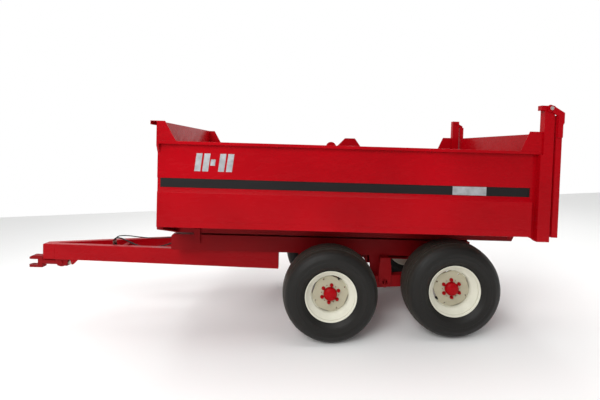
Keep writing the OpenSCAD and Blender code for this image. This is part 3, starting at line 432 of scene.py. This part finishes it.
# Metres on the levelled trailer, x from the body's front wall and z from the ground
SHAFT_X = 2.690
SHAFT_Z = 0.560
beam_low, beam_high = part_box("left_walking_beam")
level_to_frame = (Matrix.Translation(((beam_low.x + beam_high.x) / 2, 0, SHAFT_Z))
                  @ Matrix.Rotation(NOSE_UP, 4, "Y") @ Matrix.Translation((-SHAFT_X, 0, -SHAFT_Z)))
PIN_X, PIN_OUT, PIN_Z = 4.310, 1.2105, 2.715
PIN_RADIUS = 0.022
PIN_CHAMFER = 0.003
CAP_DEPTH = 0.002
SEAM_X, SEAM_OUT, SEAM_Z = 2.095, 1.1655, 1.353
SEAM_SIZE = (4.110, 0.0020, 0.0050)
SEAM_EDGE = 0.0006
bright_steel = steel("worn_bright_steel", "#e0d2cf", 0.4, 0.002)
for side, out in (("left", -1), ("right", 1)):
    cap = bmesh.new()
    bmesh.ops.create_cone(cap, cap_ends=True, segments=40, radius1=PIN_RADIUS,
                          radius2=PIN_RADIUS - PIN_CHAMFER, depth=CAP_DEPTH,
                          matrix=level_to_frame @ Matrix.Translation((PIN_X, out * PIN_OUT, PIN_Z))
                          @ Matrix.Rotation(-out * math.radians(90), 4, "X"))
    shown(side + "_pin_end", cap, bright_steel, "load_body")
    seam = bmesh.new()
    bmesh.ops.create_cube(seam, size=1, matrix=level_to_frame
                          @ Matrix.Translation((SEAM_X, out * SEAM_OUT, SEAM_Z))
                          @ Matrix.Diagonal((*SEAM_SIZE, 1)))
    bmesh.ops.bevel(seam, geom=seam.edges, offset=SEAM_EDGE, offset_type="OFFSET", affect="EDGES", segments=2,
                    profile=0.5, material=-1)
    shown(side + "_floor_seam", seam, sheet_enamel, "load_body")

# ---- Stripes and marker plates ----
# The band is satin black enamel, and the marks on it and above it are retroreflective film.
satin_black = enamel("satin_black_enamel", "#161416", "#100e10", "#4c433c",
                     low_dust=0.25, high_dust=0.05, gloss=0.42)
finished("side_stripes", satin_black)
silver_film = steel("silver_reflective_film", "#c9cbce", 0.36, 0.004)
finished("marker_plates", silver_film)

# ---- Tailgate, its latch and its strikers ----
# One sheet stiffened by tubes, hung from two pins high on the posts, and held shut at the bottom by
# hooks on a cross shaft.
for gate_node, edge in (("gate_sheet", 0.0), ("gate_frame", 0.003), ("gate_arms", 0.002),
                        ("gate_strikers", 0.001)):
    finished(gate_node, sheet_enamel, edge)
finished("latch_shaft", red_enamel, 0.001)

# ---- Tipping ram ----
# A three-stage ram: a black-painted barrel, and sleeves of hard-chromed tube with a ball on the last.
chrome = steel("hard_chromed_tube", "#d3d5d8", 0.12, 0.003, 0.02)
finished("ram_barrel", satin_black, 0.003)
for stage in (1, 2, 3):
    finished(f"ram_stage_{stage}", chrome, 0.001)

# ---- Drawbar hoses, their holder and couplings ----
# Two rubber hoses, crimped to zinc-plated couplings that park in a black holder on the drawbar, run
# back to the chassis's front member. The nut that holds the fork's shank is zinc-plated too.
zinc = steel("zinc_plated_steel", "#b9b7a8", 0.33, 0.003)
finished("hose_holder", satin_black, 0.001)
finished("hose_couplings", zinc, 0.001)
finished("fork_nut", zinc, 0.002)
# Points on the levelled trailer, in metres, from the couplings back
PRESSURE_ROUTE = [
    (-1.030, -0.026, 0.791), (-1.030, -0.026, 0.800), (-1.030, -0.026, 0.812), (-1.018, -0.028, 0.830),
    (-0.990, -0.032, 0.846), (-0.950, -0.040, 0.850), (-0.900, -0.050, 0.842), (-0.840, -0.062, 0.824),
    (-0.770, -0.076, 0.800), (-0.700, -0.090, 0.778), (-0.620, -0.104, 0.760), (-0.530, -0.116, 0.750),
    (-0.430, -0.126, 0.752), (-0.330, -0.132, 0.770), (-0.230, -0.134, 0.800), (-0.140, -0.134, 0.836),
    (-0.080, -0.134, 0.864), (-0.030, -0.134, 0.880), (-0.015, -0.134, 0.880), (0.000, -0.134, 0.880),
    (0.010, -0.134, 0.880)]
RETURN_ROUTE = [
    (-1.030, 0.026, 0.791), (-1.030, 0.026, 0.800), (-1.030, 0.026, 0.812), (-1.020, 0.026, 0.836),
    (-0.994, 0.028, 0.856), (-0.956, 0.030, 0.864), (-0.900, 0.034, 0.866), (-0.830, 0.040, 0.862),
    (-0.750, 0.046, 0.852), (-0.660, 0.054, 0.842), (-0.560, 0.062, 0.834), (-0.450, 0.070, 0.832),
    (-0.340, 0.076, 0.838), (-0.230, 0.080, 0.850), (-0.140, 0.082, 0.868), (-0.080, 0.082, 0.880),
    (-0.030, 0.082, 0.884), (-0.015, 0.082, 0.884), (0.000, 0.082, 0.884), (0.010, 0.082, 0.884)]


def smooth_points(route, steps):
    """Points of a smooth curve through the route's own points."""
    points = [Vector(p) for p in route]
    ends = [points[0]] + points + [points[-1]]
    curve = []
    for a, b, c, d in zip(ends, ends[1:], ends[2:], ends[3:]):
        for step in range(steps):
            t = step / steps
            curve.append(0.5 * (2 * b + (c - a) * t + (2 * a - 5 * b + 4 * c - d) * t * t
                                + (3 * b - a - 3 * c + d) * t * t * t))
    return curve + [points[-1]]


def tube(points, radius, sides):
    """A bmesh tube along points, bridged ring to ring, with closed ends."""
    mesh = bmesh.new()
    rings = []
    for i, point in enumerate(points):
        along = points[min(i + 1, len(points) - 1)] - points[max(i - 1, 0)]
        turn = along.to_track_quat("Z", "Y").to_matrix().to_4x4()
        made = bmesh.ops.create_circle(mesh, cap_ends=i in (0, len(points) - 1), segments=sides,
                                       radius=radius, matrix=Matrix.Translation(point) @ turn)
        rings.append([e for e in mesh.edges if all(v in made["verts"] for v in e.verts)])
    for first, second in zip(rings, rings[1:]):
        bmesh.ops.bridge_loops(mesh, edges=first + second)
    bmesh.ops.recalc_face_normals(mesh, faces=mesh.faces)
    return mesh


hose_rubber = rubber("braided_hose_rubber", "#18181a", "#6a635b")
for hose_name, route, hose_radius in (("pressure_hose", PRESSURE_ROUTE, 0.009),
                                      ("return_hose", RETURN_ROUTE, 0.007)):
    hose = tube([level_to_frame @ p for p in smooth_points(route, 4)], hose_radius, 16)
    shown(hose_name + "_run", hose, hose_rubber, "chassis", [hose_name], 50)
